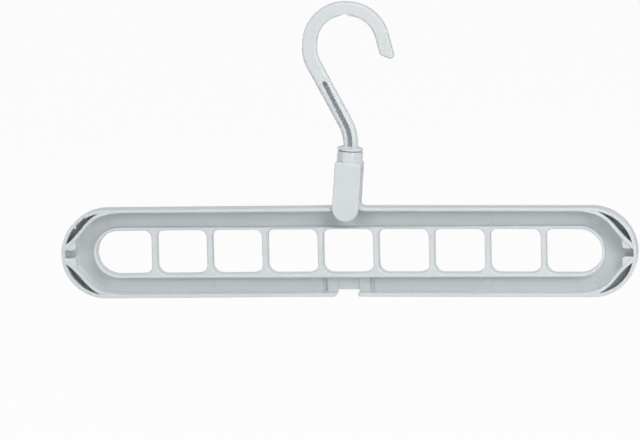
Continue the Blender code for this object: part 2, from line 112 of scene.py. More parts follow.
# Marks that ejector pins leave on both halves of the tray's floor and on the hook
RIGHT_MARKS = ((0.0870, 0.0194), (0.1540, 0.0182), (0.0870, -0.0208), (0.1540, -0.0200))
BAR_MARKS = [(side * x, z) for side in (1, -1) for x, z in RIGHT_MARKS]
HOOK_MARKS = ((0.0166, 0.0665), (0.0005, 0.0875), (-0.0270, 0.0713))

# Notch in the bottom rim, with a low pad and a groove on each side of it
NOTCH_PLACE = -0.0007
NOTCH_WIDTH = 0.0134
NOTCH_ROUND = 0.0015
PAD_WIDTH = 0.0066
PAD_RISE = 0.0010
GROOVE_WIDTH = 0.0028
GROOVE_DEPTH = 0.0008

# Yoke, its heights above and below the pivot, and the hook's shank
RUNNING_GAP = 0.0003
THROAT_TOP = 0.0253
BRIDGE_WALL = 0.0026
PLATE_DROP = 0.0088
LIP_WIDTH = 0.0072
LIP_BITE = 0.0024
LIP_HEIGHT = 0.0055
LIP_TIP_HEIGHT = 0.0018
LIP_CROWN = 0.0300
SHANK_RADIUS = 0.0040
SHANK_CLEARANCE = 0.0003
HEAD_RADIUS = 0.0052
HEAD_TIP_RADIUS = 0.0034
HEAD_LAND = 0.0012
HEAD_TAPER = 0.0020
PRONG_SLOT = 0.0012
PRONG_LENGTH = 0.0075
COLLAR_SIDES = 8

# Hook strip, from the flange to the arm's tip, with the rod's seat and the stem's channel
CROOK_TOP_RUN = 0.0016
CROOK_SIDE_RUN = 0.0028
STEM_FOOT = 0.0027
STEM_BEND = 0.0270
ARM_SLOPE = math.radians(19.0)
TIP_SLANT = math.radians(36.0)
TIP_ROUND = 0.0021
SEAT_WIDTH = 0.0052
SEAT_DEPTH = 0.0012
SEAT_OFFSET = 0.0010
SEAT_ROUND = 0.0010
CHANNEL_WIDTH = 0.0029
CHANNEL_DEPTH = 0.0042
CHANNEL_TOP = 0.0407
CHANNEL_TOP_SHIFT = 0.0009
CHANNEL_FOOT = 0.0022

# The stem's long edges are rounder from the flange up to the first height and grow sharper to the second
ROUND_STEM_TOP = 0.0340
SHARP_STEM_FOOT = 0.0520

# Plastic: noises as scale per metre, detail and roughness, the last without its scale
CLOUD_NOISE = (38.0, 3.0, 0.5)
SMEAR_NOISE = (420.0, 2.0, 0.6)
GRAIN_NOISE = (2.0, 0.5)
ROUGHNESS_SPREAD = 0.06
PLASTIC_IOR = 1.49

# Studio: each lamp's place and size, and the white floor with the share of plain white that the camera sees
LAMPS = {
    "key": ((0.95, -1.00, 0.35), 0.9),
    "fill": ((-1.00, -1.20, 0.25), 1.0),
    "top": ((0.25, -0.75, 1.20), 1.0),
    "back": ((-1.20, 0.90, -0.10), 1.0),
}
WHITE = (1.0, 1.0, 1.0, 1.0)
STAGE_COLOUR = (0.90, 0.90, 0.90, 1.0)
STAGE_ROUGHNESS = 0.9
STAGE_GLOW_SHARE = 0.96
STAGE_HALF = 4.0
STAGE_DROP = 0.16
CLIP_END = 50.0

# Fineness of curves and edges
QUARTER = math.pi / 2
ARC_STEP = math.radians(3.0)
BEZIER_STEPS = 20
FINE_EDGE = 0.00022
FINE_REACH = 0.0030
TURN_STEPS = 96
STEM_STEPS = 16
CORNER_STEPS = 16
MARK_SIDES = 48
EDGE_SEGMENTS = 4
ROUNDED_ABOVE = math.radians(28.0)
SHARP_ABOVE = math.radians(33.0)
FLAT_BELOW = math.radians(0.3)
SAME_POINT = 0.000001
WELD = 0.00001

# How far cutters and joined solids reach past a face
OVERRUN = 0.0010
EMBED = 0.0003


def number(name, description, default, **more):
    return FloatProperty(name=name, description=description, default=default, **more)


def length(name, description, default):
    """A size that shows in the sidebar."""
    return number(name, description, default, min=0.0, precision=5, unit="LENGTH")


def share(name, description, default, high=1.0):
    return number(name, description, default, min=0.0, max=high, subtype="FACTOR")


def angle(name, description, degrees):
    return number(name, description, math.radians(degrees), subtype="ANGLE")


class BarSizes(bpy.types.PropertyGroup):
    """Sizes of the moulded bar."""

    rim_wall: length("Rim wall", "Thickness of the rim round the bar", 0.0022)
    web_wall: length("Web wall", "Thickness of the plate at the bar's back", 0.0020)
    hole_width: length("Hole width", "Width of a garment hole", 0.0312)
    hole_height: length("Hole height", "Height of a garment hole", 0.0277)
    hole_top_round: length("Hole top round", "Radius of a hole's upper corners", 0.0045)
    hole_foot_round: length("Hole foot round", "Radius of a hole's lower corners", 0.0060)
    end_hole_extra: length("End hole extra", "How much wider the two end holes are", 0.0033)
    ladder_wall: length("Ladder wall", "Thickness of the low wall round the holes", 0.0020)
    ladder_setback: length("Ladder setback", "How far the low wall lies behind the rim's face", 0.0037)
    edge_round: length("Edge round", "Radius of the bar's moulded edges", 0.00050)
    corner_fill: length("Corner fill", "Radius of the fillets in the bar's inner corners", 0.00040)
    floor_fill: length("Floor fill", "Radius of the fillets round the tray's floor", 0.00070)
    hole_edge: length("Hole edge", "Radius of the holes' front edges", 0.00090)
    hole_draft: length("Hole draft", "How much wider a hole's cutter is at its front, on each side", 0.00025)
    sag: length("Sag", "How much lower the bar's ends hang than its middle", 0.0009)
    mark_radius: length("Pin mark radius", "Radius of the ejector-pin marks on the bar", 0.0029)
    mark_slope: length("Pin mark slope", "Width of the slope round a mark", 0.00030)
    mark_depth: length("Pin mark depth", "Depth of the ejector-pin marks", 0.00025)


class YokeSizes(bpy.types.PropertyGroup):
    """Sizes of the clip over the bar."""

    width: length("Width", "Width of the yoke's plates", 0.0166)
    plate_wall: length("Plate wall", "Thickness of each plate", 0.0018)
    plate_edge: length("Plate edge", "Radius of the plates' outer edges", 0.0009)
    collar_across: length("Collar across", "Collar's size from flat to flat", 0.0156)
    collar_depth: length("Collar depth", "Collar's size from its front flat to its back flat", 0.0146)
    collar_height: length("Collar height", "Height of the octagonal collar", 0.0070)
    collar_edge: length("Collar edge", "Radius of the collar's edges", 0.0012)
    edge_round: length("Edge round", "Radius of the smaller edges", 0.00020)


class HookSizes(bpy.types.PropertyGroup):
    """Sizes of the swivelling hook."""

    strip_width: length("Strip width", "Width of the stem and the crook's left side", 0.0091)
    tip_width: length("Tip width", "Width of the strip at the arm's tip", 0.0083)
    strip_depth: length("Strip depth", "Thickness of the strip from front to back", 0.0068)
    strip_edge: length("Strip edge", "Radius of the strip's long edges", 0.0015)
    stem_edge: length("Stem edge", "Radius of the long edges low on the stem", 0.0024)
    crook_radius: length("Crook radius", "Radius of the strip's middle line in the crook", 0.0220)
    crook_height: length("Crook height", "Height of the crook's centre above the flange", 0.0660)
    crook_offset: length("Crook offset", "How far the crook's centre lies left of the shank", 0.0072)
    arm_length: length("Arm length", "Length of the straight run to the arm's tip", 0.0145)
    flange_radius: length("Flange radius", "Radius of the round flange", 0.0081)
    flange_wall: length("Flange wall", "Thickness of the flange", 0.0018)
    edge_round: length("Edge round", "Radius of the smaller edges", 0.00020)
    channel_edge: length("Channel edge", "Radius of the channel's lips", 0.00028)
    mark_radius: length("Pin mark radius", "Radius of the ejector-pin marks on the hook", 0.0015)
    mark_slope: length("Pin mark slope", "Width of the slope round a mark", 0.00012)
    mark_depth: length("Pin mark depth", "Depth of the ejector-pin marks", 0.00010)


class PlasticFinish(bpy.types.PropertyGroup):
    """Colour and surface of the moulded plastic."""

    colour: FloatVectorProperty(
        name="Colour", description="Colour of the plastic", subtype="COLOR", size=3, min=0.0, max=1.0,
        default=(0.591, 0.626, 0.642))
    cloud: share("Cloudiness", "How much the colour varies over the piece", 0.03)
    roughness: share("Roughness", "Roughness of the moulded surface", 0.42)
    grain_size: length("Grain size", "Size of the fine moulded grain", 0.00090)
    grain_height: length("Grain height", "Height of the fine moulded grain", 0.000002)


class StudioSettings(bpy.types.PropertyGroup):
    """Camera and lamps."""

    azimuth: angle("Azimuth", "Camera's angle from straight in front towards +X", 7.6)
    elevation: angle("Elevation", "Camera's angle above the level", 8.8)
    roll: angle("Roll", "Camera's turn about its own axis", -1.406)
    distance: length("Distance", "Camera's distance from the middle of the picture", 3.6)
    picture_width: length("Picture width", "Width of the scene that fills the picture", 0.39758)
    middle_x: number("Middle X", "Place along the bar at the middle of the picture", -0.018937, unit="LENGTH")
    middle_z: number("Middle Z", "Height at the middle of the picture", -0.129054, unit="LENGTH")
    key_power: number("Key power", "Power of the key lamp", 11.0, unit="POWER")
    fill_power: number("Fill power", "Power of the fill lamp", 6.7, unit="POWER")
    top_power: number("Top power", "Power of the upper lamp", 12.4, unit="POWER")
    back_power: number("Back power", "Power of the lamp behind", 9.0, unit="POWER")
    sky: share("Sky", "Strength of the even light from all round", 0.03, high=4.0)


def onward(point, heading, distance):
    """The point moved by a distance in the direction of a heading."""
    return (point[0] + distance * math.cos(heading), point[1] + distance * math.sin(heading))


def arc(centre, radius, start=-QUARTER, end=QUARTER):
    """Points from angle start to angle end about centre, both ends included."""
    steps = max(1, math.ceil(abs(end - start) / ARC_STEP))
    return [onward(centre, start + (end - start) * step / steps, radius) for step in range(steps + 1)]


def bezier(*corners):
    """Points along the cubic curve of four corners, both ends included."""
    points = []
    for step in range(BEZIER_STEPS + 1):
        t = step / BEZIER_STEPS
        weights = ((1 - t) ** 3, 3 * t * (1 - t) ** 2, 3 * t ** 2 * (1 - t), t ** 3)
        points.append(tuple(sum(w * c[axis] for w, c in zip(weights, corners)) for axis in (0, 1)))
    return points


def mirrored(points, flip_x=True, flip_z=False):
    """The points flipped left to right, top to bottom or both."""
    return [(-x if flip_x else x, -z if flip_z else z) for x, z in points]


def four_ways(outline):
    """The outline and its copies flipped left to right and top to bottom."""
    return [mirrored(outline, flip_x, flip_z) for flip_x in (False, True) for flip_z in (False, True)]


def tidy(points):
    """The outline without repeated points, turning counter-clockwise seen along +Y."""
    kept = []
    for point in points:
        if not kept or math.dist(point, kept[-1]) > SAME_POINT:
            kept.append(point)
    if math.dist(kept[0], kept[-1]) < SAME_POINT:
        kept.pop()
    following = kept[1:] + kept[:1]
    area = sum(a[0] * b[1] - b[0] * a[1] for a, b in zip(kept, following))
    return kept if area > 0 else kept[::-1]


def rectangle(x_low, x_high, z_low, z_high):
    return [(x_low, z_low), (x_high, z_low), (x_high, z_high), (x_low, z_high)]


def add_object(name, data):
    made = bpy.data.objects.new(name, data)
    bpy.context.scene.collection.objects.link(made)
    return made


def new_piece(name, bm):
    bmesh.ops.recalc_face_normals(bm, faces=bm.faces)
    mesh = bpy.data.meshes.new(name)
    bm.to_mesh(mesh)
    bm.free()
    return add_object(name, mesh)


def add_loft(bm, near_points, far_points):
    """A closed solid between two rings of equally many points in space."""
    near = [bm.verts.new(point) for point in near_points]
    far = [bm.verts.new(point) for point in far_points]
    bm.faces.new(near)
    bm.faces.new(far[::-1])
    for index in range(len(near)):
        after = (index + 1) % len(near)
        bm.faces.new((near[index], far[index], far[after], near[after]))


def prism(name, outlines, y_front, y_back):
    """One object holding a straight prism for each outline in the XZ plane."""
    bm = bmesh.new()
    for outline in outlines:
        points = tidy(outline)
        add_loft(bm, [(x, y_front, z) for x, z in points], [(x, y_back, z) for x, z in points])
    return new_piece(name, bm)


def turned(name, profile):
    """A solid of revolution about Z from (radius, z) points that start and end on the axis."""
    bm = bmesh.new()
    rings = []
    for radius, z in profile[1:-1]:
        angles = [math.tau * step / TURN_STEPS for step in range(TURN_STEPS)]
        rings.append([bm.verts.new((radius * math.cos(a), radius * math.sin(a), z)) for a in angles])
    low = bm.verts.new((0.0, 0.0, profile[0][1]))
    high = bm.verts.new((0.0, 0.0, profile[-1][1]))
    for step in range(TURN_STEPS):
        after = (step + 1) % TURN_STEPS
        bm.faces.new((low, rings[0][after], rings[0][step]))
        bm.faces.new((high, rings[-1][step], rings[-1][after]))
        for inner, outer in zip(rings, rings[1:]):
            bm.faces.new((inner[step], inner[after], outer[after], outer[step]))
    return new_piece(name, bm)


def settle(piece):
    """Turns the piece and its modifiers into a plain mesh and takes its cutters away."""
    depsgraph = bpy.context.evaluated_depsgraph_get()
    mesh = bpy.data.meshes.new_from_object(piece.evaluated_get(depsgraph))
    tools = {modifier.object for modifier in piece.modifiers if modifier.type == "BOOLEAN"}
    piece.modifiers.clear()
    piece.data = mesh
    for tool in tools:
        bpy.data.objects.remove(tool, do_unlink=True)


def combine(target, tool, operation="DIFFERENCE"):
    modifier = target.modifiers.new(tool.name, "BOOLEAN")
    modifier.operation = operation
    modifier.solver = "EXACT"
    modifier.object = tool


def cut(target, name, outlines, y_front, y_back):
    """Takes a straight prism for each outline out of the target."""
    combine(target, prism(name + "_cutter", outlines, y_front, y_back))


def clean(piece):
    """Joins doubled points and merges faces that lie in one plane."""
    bm = bmesh.new()
    bm.from_mesh(piece.data)
    bmesh.ops.remove_doubles(bm, verts=bm.verts, dist=WELD)
    bmesh.ops.dissolve_limit(bm, angle_limit=FLAT_BELOW, verts=bm.verts, edges=bm.edges)
    bm.to_mesh(piece.data)
    bm.free()


def part_flats(piece, heights):
    """Cuts every face at some heights, so that no flat face runs round an opening."""
    bm = bmesh.new()
    bm.from_mesh(piece.data)
    for height in heights:
        parts = [*bm.verts, *bm.edges, *bm.faces]
        bmesh.ops.bisect_plane(bm, geom=parts, dist=WELD, plane_co=(0.0, 0.0, height), plane_no=(0.0, 0.0, 1.0))
    bm.to_mesh(piece.data)
    bm.free()


def round_edges(piece, largest, rule):
    """Rounds each sharp edge by the radius that a rule gives for its middle and its kind."""
    bm = bmesh.new()
    bm.from_mesh(piece.data)
    layers = bm.edges.layers.float
    weight = layers.get("bevel_weight_edge") or layers.new("bevel_weight_edge")
    for edge in bm.edges:
        is_sharp = edge.is_manifold and edge.calc_face_angle() > ROUNDED_ABOVE
        middle = (edge.verts[0].co + edge.verts[1].co) / 2
        edge[weight] = rule(middle, edge.is_convex) / largest if is_sharp else 0.0
    bm.to_mesh(piece.data)
    bm.free()
    modifier = piece.modifiers.new("round_edges", "BEVEL")
    modifier.width = largest
    modifier.segments = EDGE_SEGMENTS
    modifier.limit_method = "WEIGHT"
    modifier.use_clamp_overlap = False
    settle(piece)


def soften(piece, radius):
    """Rounds every edge and fills every inner corner, as a mould does."""
    clean(piece)
    round_edges(piece, radius, lambda middle, convex: radius)


def smooth(piece):
    """Shades round faces round and flat faces flat."""
    piece.data.shade_smooth()
    piece.data.set_sharp_from_angle(angle=SHARP_ABOVE)
    modifier = piece.modifiers.new("flat_faces_flat", "WEIGHTED_NORMAL")
    modifier.keep_sharp = True
    settle(piece)


def saddle_outline(rim_inset):
    """Top edge of the bar or of its tray, from right to left across the saddle."""
    top = BAR_RADIUS - rim_inset
    toe_round = TOE_ROUND + rim_inset
    crown_round = CROWN_ROUND - rim_inset
    sweep = math.acos(1 - SADDLE_RISE / (TOE_ROUND + CROWN_ROUND))
    crown_half = SADDLE_HALF - (TOE_ROUND + CROWN_ROUND) * math.sin(sweep)
    crown = arc((crown_half, top + SADDLE_RISE - crown_round), crown_round, QUARTER, QUARTER - sweep)
    toe = arc((SADDLE_HALF, top + toe_round), toe_round, -QUARTER - sweep, -QUARTER)
    right = crown + toe[1:]
    return right[::-1] + mirrored(right)


def bar_outline():
    right = arc((END_CENTRE, 0.0), BAR_RADIUS)
    return right + saddle_outline(0.0) + mirrored(right[::-1])


def tray_end(inner_radius):
    """The tray's edge round the right end, from top to bottom, with the slot between the blocks."""
    start = (END_CENTRE - NECK_LEAD, inner_radius)
    face = END_CENTRE + BLOCK_REACH
    corner = (face, BLOCK_HEIGHT)
    neck = bezier(start, onward(start, 0.0, NECK_HIGH_HANDLE), onward(corner, NECK_SLOPE, -NECK_LOW_HANDLE), corner)
    slot_top = SLOT_WIDTH / 2
    upper = neck + [(face, slot_top + BLOCK_CHAMFER), (face + BLOCK_CHAMFER, slot_top)]
    reach = math.asin(slot_top / inner_radius)
    slot = arc((END_CENTRE, 0.0), inner_radius, reach, -reach)
    return upper + slot + mirrored(upper[::-1], flip_x=False, flip_z=True)


def tray_outline(rim_wall):
    end = tray_end(BAR_RADIUS - rim_wall)
    return end[::-1] + saddle_outline(rim_wall) + mirrored(end)


def pocket_outline(inner_radius):
    """The upper pocket at the right end: the rim's inner arc closed by an oblique wall."""
    rim = arc((END_CENTRE, 0.0), inner_radius, POCKET_LOW_ANGLE, POCKET_HIGH_ANGLE)
    high_handle = onward(rim[-1], POCKET_HIGH_SLOPE, POCKET_HIGH_HANDLE)
    low_handle = onward(rim[0], POCKET_LOW_SLOPE, -POCKET_LOW_HANDLE)
    return rim + bezier(rim[-1], high_handle, low_handle, rim[0])[1:-1]


def block_outline():
    """The upper stop block's front face at the right end."""
    edge = SLOT_WIDTH / 2
    face = END_CENTRE + BLOCK_REACH
    far = face + (BLOCK_HEIGHT - edge) / math.tan(-NECK_SLOPE)
    return [(face - OVERRUN, BLOCK_HEIGHT), (face, BLOCK_HEIGHT), (far, edge), (far, edge - OVERRUN),
            (face - OVERRUN, edge - OVERRUN)]


def ladder_end(sizes):
    """Distance from the bar's middle to the centre of the round ends of the low wall and the end hole."""
    return END_HOLE + sizes.hole_width / 2 + sizes.end_hole_extra - sizes.hole_height / 2


def ladder_outline(sizes, grow):
    """Outline of the low wall round the holes, grown outwards by a given amount."""
    right = arc((ladder_end(sizes), 0.0), sizes.hole_height / 2 + sizes.ladder_wall + grow)
    return right + mirrored(right[::-1])


def end_hole_outline(sizes, grow):
    """The hole at the right end, with a half circle on its right, grown outwards by a given amount."""
    half = sizes.hole_height / 2 + grow
    left = END_HOLE - sizes.hole_width / 2 - grow
    top_round = sizes.hole_top_round + grow
    foot_round = sizes.hole_foot_round + grow
    end = arc((ladder_end(sizes), 0.0), half)
    top = arc((left + top_round, half - top_round), top_round, QUARTER, math.pi)
    foot = arc((left + foot_round, foot_round - half), foot_round, math.pi, 3 * QUARTER)
    return end + top + foot


def end_hole_cutter(sizes, depth):
    """Cutter for the two end holes, a little wider at the front."""
    bm = bmesh.new()
    for flip_x in (False, True):
        near = mirrored(end_hole_outline(sizes, sizes.hole_draft), flip_x)
        far = mirrored(end_hole_outline(sizes, 0.0), flip_x)
        add_loft(bm, [(x, -depth / 2, z) for x, z in near], [(x, depth / 2, z) for x, z in far])
    return new_piece("end_hole_cutter", bm)


def notch_outline(top):
    """The gap in the bottom rim, flared where it meets the rim's outer face."""
    half = NOTCH_WIDTH / 2
    outer = -BAR_RADIUS
    flare = arc((half + NOTCH_ROUND, outer + NOTCH_ROUND), NOTCH_ROUND, math.pi, 3 * QUARTER)
    right = [(half, top)] + flare + [(half + NOTCH_ROUND, outer - OVERRUN)]
    return [(NOTCH_PLACE + x, z) for x, z in right + mirrored(right[::-1])]


def beside_notch(sizes, start, width, sunk):
    """The two floor areas beside the notch, from the ladder down to the rim."""
    ladder_foot = -sizes.hole_height / 2 - sizes.ladder_wall
    rim_inside = sizes.rim_wall - BAR_RADIUS
    right = rectangle(start, start + width, rim_inside - sunk, ladder_foot + sunk)
    return [[(NOTCH_PLACE + x, z) for x, z in side] for side in (right, mirrored(right))]


def new_tree(name, sizes):
    """An empty geometry node tree with inputs for its sizes and its material, and its ends."""
    tree = bpy.data.node_groups.new(name, "GeometryNodeTree")
    tree.interface.new_socket("Geometry", in_out="INPUT", socket_type="NodeSocketGeometry")
    for size in sizes:
        kind = "NodeSocketInt" if size == "Count" else "NodeSocketFloat"
        tree.interface.new_socket(size, in_out="INPUT", socket_type=kind)
    tree.interface.new_socket("Material", in_out="INPUT", socket_type="NodeSocketMaterial")
    tree.interface.new_socket("Geometry", in_out="OUTPUT", socket_type="NodeSocketGeometry")
    return tree, tree.nodes.new("NodeGroupInput").outputs, tree.nodes.new("NodeGroupOutput").inputs


def feed(tree, socket, value):
    """Links an input to an output or to a node's first output, or sets it to a plain value."""
    if isinstance(value, bpy.types.Node):
        value = value.outputs[0]
    if isinstance(value, bpy.types.NodeSocket):
        tree.links.new(value, socket)
    else:
        socket.default_value = value


def add_node(tree, kind, setting=None, **inputs):
    """A node with one setting, a name and its value, and its inputs fed by name, an underscore for a space.

    A kind without its prefix is one of the tree's own.
    """
    node = tree.nodes.new(kind if "Node" in kind else tree.bl_idname.replace("Tree", kind))
    if setting:
        setattr(node, *setting)
    for label, value in inputs.items():
        feed(tree, node.inputs[label.replace("_", " ")], value)
    return node


def maths(tree, operation, *values):
    """A math node between nodes, sockets or numbers."""
    node = add_node(tree, "ShaderNodeMath", ("operation", operation))
    for socket, value in zip(node.inputs, values):
        feed(tree, socket, value)
    return node


def put_on_points(tree, points, shape, material, end):
    """Ends a tree with a real copy of a shape on each point, in its material."""
    copies = add_node(tree, "InstanceOnPoints", Points=points, Instance=shape)
    real = add_node(tree, "RealizeInstances", Geometry=copies)
    feed(tree, end["Geometry"], add_node(tree, "SetMaterial", Geometry=real, Material=material))


def grow_from(tree, points, values):
    """A plain mesh object that a geometry node tree makes from some points."""
    mesh = bpy.data.meshes.new(tree.name)
    mesh.from_pydata(points, [], [])
    grown = add_object(tree.name, mesh)
    modifier = grown.modifiers.new(tree.name, "NODES")
    modifier.node_group = tree
    for item in tree.interface.items_tree:
        if item.in_out == "INPUT" and item.name in values:
            modifier[item.identifier] = values[item.name]
    settle(grown)
    return grown


def hole_row_tree():
    """A row of equal round-cornered prisms, one for each plain hole."""
    tree, sizes, end = new_tree(
        "hole_row", ("Count", "Pitch", "Width", "Height", "Top Round", "Foot Round", "Depth", "Flare"))
    corners = add_node(tree, "CurvePrimitiveQuadrilateral", Width=sizes["Width"], Height=sizes["Height"])
    place = add_node(tree, "ShaderNodeSeparateXYZ", Vector=add_node(tree, "InputPosition"))
    is_top = add_node(tree, "FunctionNodeCompare", A=place.outputs["Y"])
    radii = {"False": sizes["Foot Round"], "True": sizes["Top Round"]}
    radius = add_node(tree, "Switch", ("input_type", "FLOAT"), Switch=is_top, **radii)
    rounded = add_node(tree, "FilletCurve", ("mode", "POLY"), Curve=corners, Count=CORNER_STEPS, Radius=radius)
    face = add_node(tree, "FillCurve", ("mode", "NGONS"), Curve=rounded)
    thick = add_node(tree, "ExtrudeMesh", Mesh=face, Offset_Scale=sizes["Depth"], Individual=False)
    flared = add_node(tree, "ScaleElements", Geometry=thick, Selection=thick.outputs["Top"], Scale=sizes["Flare"])
    both = add_node(tree, "JoinGeometry", Geometry=flared)
    feed(tree, both.inputs["Geometry"], add_node(tree, "FlipFaces", Mesh=face))
    closed = add_node(tree, "MergeByDistance", Geometry=both, Distance=WELD)
    upright = add_node(tree, "Transform", Geometry=closed, Rotation=(QUARTER, 0.0, 0.0))
    step = add_node(tree, "ShaderNodeCombineXYZ", X=sizes["Pitch"])
    row = add_node(tree, "MeshLine", Count=sizes["Count"], Offset=step)
    put_on_points(tree, row, upright, sizes["Material"], end)
    return tree


def pin_mark_tree():
    """A shallow plug with a sloping side, half sunk into the surface, on each point of the mesh."""
    tree, sizes, end = new_tree("pin_marks", ("Radius", "Slope", "Depth"))
    plug = add_node(
        tree, "MeshCone", Vertices=MARK_SIDES,
        Radius_Top=maths(tree, "SUBTRACT", sizes["Radius"], sizes["Slope"]),
        Radius_Bottom=maths(tree, "ADD", sizes["Radius"], sizes["Slope"]),
        Depth=maths(tree, "MULTIPLY", sizes["Depth"], 2.0))
    drop = add_node(tree, "ShaderNodeCombineXYZ", Y=maths(tree, "MULTIPLY", sizes["Depth"], -1.0))
    upright = add_node(tree, "Transform", Geometry=plug, Translation=drop, Rotation=(-QUARTER, 0.0, 0.0))
    put_on_points(tree, sizes["Geometry"], upright, sizes["Material"], end)
    return tree


def hole_row(sizes, depth, material):
    """Cutter for the plain holes between the two end holes."""
    count = HOLE_COUNT - 2
    row = grow_from(hole_row_tree(), [], {
        "Count": count, "Pitch": HOLE_PITCH, "Width": sizes.hole_width, "Height": sizes.hole_height,
        "Top Round": sizes.hole_top_round, "Foot Round": sizes.hole_foot_round, "Depth": depth,
        "Flare": 1.0 + 2 * sizes.hole_draft / sizes.hole_width, "Material": material})
    row.data.transform(Matrix.Translation((-(count - 1) / 2 * HOLE_PITCH, depth / 2, 0.0)))
    return row


def pin_marks(sizes, places, y, material):
    """Cutter for the round marks of ejector pins in a surface that faces forward."""
    return grow_from(pin_mark_tree(), [(x, y, z) for x, z in places], {
        "Radius": sizes.mark_radius, "Slope": sizes.mark_slope, "Depth": sizes.mark_depth, "Material": material})


def pocket_tabs(front):
    """The two cut-off tabs in the upper left pocket."""
    half = TAB_SIZE / 2
    turn = Matrix.Rotation(TAB_TURN, 2)
    corners = [turn @ Vector(corner) for corner in rectangle(-half, half, -half, half)]
    outlines = [[(x + corner.x, z + corner.y) for corner in corners] for x, z in TAB_PLACES]
    return prism("pocket_tabs", outlines, front + TAB_FRONT, front + TAB_DEPTH)


def is_near(places, x, z, distance):
    """Whether a place lies near one of several others."""
    return any(math.dist((x, z), place) < distance for place in places)


def is_hole_edge(sizes, middle):
    """Whether a place lies on the front edge of a garment hole."""
    x, y, z = middle
    from_spine = math.hypot(max(0.0, abs(x) - ladder_end(sizes)), z)
    is_front = abs(y + BAR_DEPTH / 2 - sizes.ladder_setback) < WELD
    return is_front and from_spine < (sizes.hole_height + sizes.ladder_wall) / 2


def bar_edge_radius(sizes, floor, middle, convex):
    """Radius of the bar's edges: none at marks, tabs and pockets' feet, small at fine steps, large at holes."""
    x, y, z = middle
    is_pocket_foot = abs(x) > END_CENTRE and y > floor - POCKET_FLOOR and not convex
    is_mark = floor - WELD < y < BAR_DEPTH / 2 - WELD and is_near(BAR_MARKS, x, z, sizes.mark_radius + EMBED)
    if is_pocket_foot or is_mark or is_near(TAB_PLACES, x, z, TAB_SIZE / math.sqrt(2) + EMBED):
        return 0.0
    from_end = math.hypot(abs(x) - END_CENTRE, z)
    is_block = abs(x) > END_CENTRE + BLOCK_REACH - FINE_REACH and from_end < BAR_RADIUS - EMBED
    is_floor = floor - PAD_RISE - WELD < y < BAR_DEPTH / 2 - WELD
    if is_block or is_floor and abs(x) < NOTCH_WIDTH + PAD_WIDTH + GROOVE_WIDTH:
        return FINE_EDGE
    if is_hole_edge(sizes, middle):
        return sizes.hole_edge
    return sizes.edge_round if convex else sizes.corner_fill


def build_bar(sizes, material):
    front = -BAR_DEPTH / 2
    back = BAR_DEPTH / 2
    ahead = front - OVERRUN
    floor = back - sizes.web_wall
    inner_radius = BAR_RADIUS - sizes.rim_wall
    bar = prism("moulded_bar", [bar_outline()], front, back)
    tray = prism("tray_cutter", [tray_outline(sizes.rim_wall)], ahead, floor)
    cut(tray, "ladder", [ladder_outline(sizes, 0.0)], ahead - EMBED, floor + OVERRUN)
    settle(tray)
    clean(tray)
    round_edges(tray, sizes.floor_fill, lambda middle, convex: sizes.floor_fill if middle.y > floor - WELD else 0.0)
    combine(bar, tray)
    cut(bar, "ladder_face", [ladder_outline(sizes, EMBED)], ahead, front + sizes.ladder_setback)
    pads = beside_notch(sizes, NOTCH_WIDTH / 2, PAD_WIDTH, EMBED)
    combine(bar, prism("notch_pads", pads, floor - PAD_RISE, floor + EMBED), "UNION")
    grooves = beside_notch(sizes, NOTCH_WIDTH / 2 + PAD_WIDTH, GROOVE_WIDTH, 0.0)
    cut(bar, "groove", grooves, floor - sizes.floor_fill - EMBED, floor + GROOVE_DEPTH)
    depth = BAR_DEPTH + 2 * OVERRUN
    combine(bar, hole_row(sizes, depth, material))
    combine(bar, end_hole_cutter(sizes, depth))
    cut(bar, "pocket", four_ways(pocket_outline(inner_radius)), ahead, back - POCKET_FLOOR)
    cut(bar, "block_face", four_ways(block_outline()), ahead, front + BLOCK_SETBACK)
    cut(bar, "notch", [notch_outline(sizes.floor_fill - inner_radius)], ahead, back + OVERRUN)
    combine(bar, pocket_tabs(front), "UNION")
    combine(bar, pin_marks(sizes, BAR_MARKS, floor, material))
    settle(bar)
    clean(bar)
    largest = max(sizes.edge_round, sizes.hole_edge)
    round_edges(bar, largest, lambda middle, convex: bar_edge_radius(sizes, floor, middle, convex))
    smooth(bar)
    for vertex in bar.data.vertices:
        vertex.co.z -= sizes.sag * (2 * vertex.co.x / BAR_LENGTH) ** 2
    bar.data.transform(Matrix.Translation(((BAR_LOW.x + BAR_HIGH.x) / 2, 0.0, BAR_LOW.z + BAR_RADIUS)))
    return bar


def yoke_outline(sizes):
    """The plates' outline about the pivot, with their round lower end."""
    half = sizes.width / 2
    top = THROAT_TOP + BRIDGE_WALL
    foot = arc((0.0, half - PLATE_DROP), half, math.pi, math.tau)
    return foot + [(half, top), (-half, top)]


def lip_outline(height):
    """The catch lip seen from the front, its top crowned so that the bar can rock on it."""
    half = LIP_WIDTH / 2
    sweep = math.asin(half / LIP_CROWN)
    crown = arc((0.0, -LIP_CROWN), LIP_CROWN, QUARTER - sweep, QUARTER + sweep)
    return crown + [(-half, -height), (half, -height)]


def build_collar(sizes, top):
    """The octagonal collar with a flat facing forward, a little squeezed from front to back."""
    radius = sizes.collar_across / 2 / math.cos(math.pi / COLLAR_SIDES)
    squeeze = sizes.collar_depth / sizes.collar_across
    angles = [math.tau * (side + 0.5) / COLLAR_SIDES for side in range(COLLAR_SIDES)]
    corners = [(radius * math.cos(a), radius * math.sin(a) * squeeze) for a in angles]
    bm = bmesh.new()
    add_loft(bm, [(x, y, THROAT_TOP + EMBED) for x, y in corners], [(x, y, top) for x, y in corners])
    collar = new_piece("collar", bm)
    soften(collar, sizes.collar_edge)
    return collar


